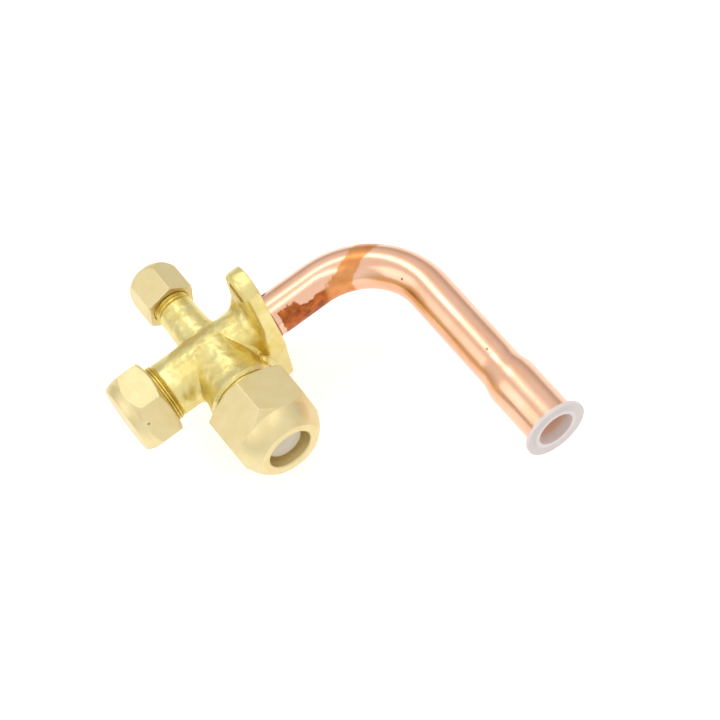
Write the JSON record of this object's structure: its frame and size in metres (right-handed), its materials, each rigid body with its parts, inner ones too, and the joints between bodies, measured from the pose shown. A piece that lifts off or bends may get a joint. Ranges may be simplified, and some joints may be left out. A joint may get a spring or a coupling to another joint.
{
  "type": "refrigerant service valve",
  "caption": "Forged brass three-way gas service valve with stem cap, flare nut, capped service port, two-ear mounting flange and a bent copper tube with a plugged swaged end.",
  "frame": {"origin": "centre of the two bolt holes, on the back face of the mounting flange and on the stem axis", "axes": "+X along the stem axis towards the copper tube, -Y towards the flare nut and along the tube's second leg, +Y the service port, +Z along the upper bolt ear"},
  "size_m": [0.0977, 0.1164, 0.0518],
  "materials": {
    "forged_brass": "forged and blasted, pale yellow",
    "turned_brass": "machined and washed, satin",
    "steel": "spring steel",
    "rubber": "moulded",
    "white_plastic": "moulded nylon",
    "ptfe": "turned",
    "clear_plastic": "moulded, translucent",
    "copper": "drawn copper tube, bright, heat-tinted near the braze",
    "braze": "phosphor-copper braze metal"
  },
  "bodies": {
    "valve": {"valve_body": "forged_brass", "snap_ring": "steel", "core_body": "turned_brass", "core_seal": "ptfe", "core_spring": "steel", "copper_tube": "copper", "braze_fillet": "braze"},
    "stem_seals": {"stem_inner_o_ring": "rubber", "stem_outer_o_ring": "rubber"},
    "stem": {"stem": "turned_brass"},
    "cap_gasket": {"stem_cap_gasket": "ptfe"},
    "stem_cap": {"stem_cap": "turned_brass"},
    "bonnet": {"flare_bonnet": "white_plastic"},
    "flare_nut": {"flare_nut": "turned_brass"},
    "port_seal": {"port_cap_seal": "rubber"},
    "port_cap": {"port_cap": "turned_brass"},
    "core_pin": {"core_pin": "steel", "core_cup": "turned_brass", "core_cup_seal": "rubber"},
    "tube_plug": {"tube_plug": "clear_plastic"}
  },
  "joints": [
    {"name": "stem_travel", "type": "slide", "parent": "valve", "child": "stem_seals", "axis": [1, 0, 0], "range_m": [0, 0.00875]},
    {"name": "stem_turn", "type": "hinge", "parent": "stem_seals", "child": "stem", "pos_m": [0, 0, 0], "axis": [1, 0, 0], "range_deg": [0, 2520.05]},
    {"name": "stem_cap_travel", "type": "slide", "parent": "valve", "child": "cap_gasket", "axis": [-1, 0, 0], "range_m": [0, 0.008]},
    {"name": "stem_cap_turn", "type": "hinge", "parent": "cap_gasket", "child": "stem_cap", "pos_m": [0, 0, 0], "axis": [-1, 0, 0], "range_deg": [0, 3600.05]},
    {"name": "flare_nut_travel", "type": "slide", "parent": "valve", "child": "bonnet", "axis": [0, -1, 0], "range_m": [0, 0.0127]},
    {"name": "flare_nut_turn", "type": "hinge", "parent": "bonnet", "child": "flare_nut", "pos_m": [-0.0181, 0, 0], "axis": [0, -1, 0], "range_deg": [0, 2880.05]},
    {"name": "port_cap_travel", "type": "slide", "parent": "valve", "child": "port_seal", "axis": [0, 1, 0], "range_m": [0, 0.01143]},
    {"name": "port_cap_turn", "type": "hinge", "parent": "port_seal", "child": "port_cap", "pos_m": [-0.0181, 0, 0], "axis": [0, 1, 0], "range_deg": [0, 3240.05]},
    {"name": "core_pin_press", "type": "slide", "parent": "valve", "child": "core_pin", "axis": [0, -1, 0], "range_m": [0, 0.0012], "stiffness_N_per_m": 900, "springref_m": -0.002, "deforming": ["core_spring"]},
    {"name": "tube_plug_pull", "type": "slide", "parent": "valve", "child": "tube_plug", "axis": [0, -1, 0], "range_m": [0, 0.03]}
  ],
  "couplings": [
    {"joint": "stem_turn", "follows": "stem_travel", "rad_per_m": 5026.5},
    {"joint": "stem_cap_turn", "follows": "stem_cap_travel", "rad_per_m": 7854},
    {"joint": "flare_nut_turn", "follows": "flare_nut_travel", "rad_per_m": 3957.9},
    {"joint": "port_cap_turn", "follows": "port_cap_travel", "rad_per_m": 4947.4}
  ]
}
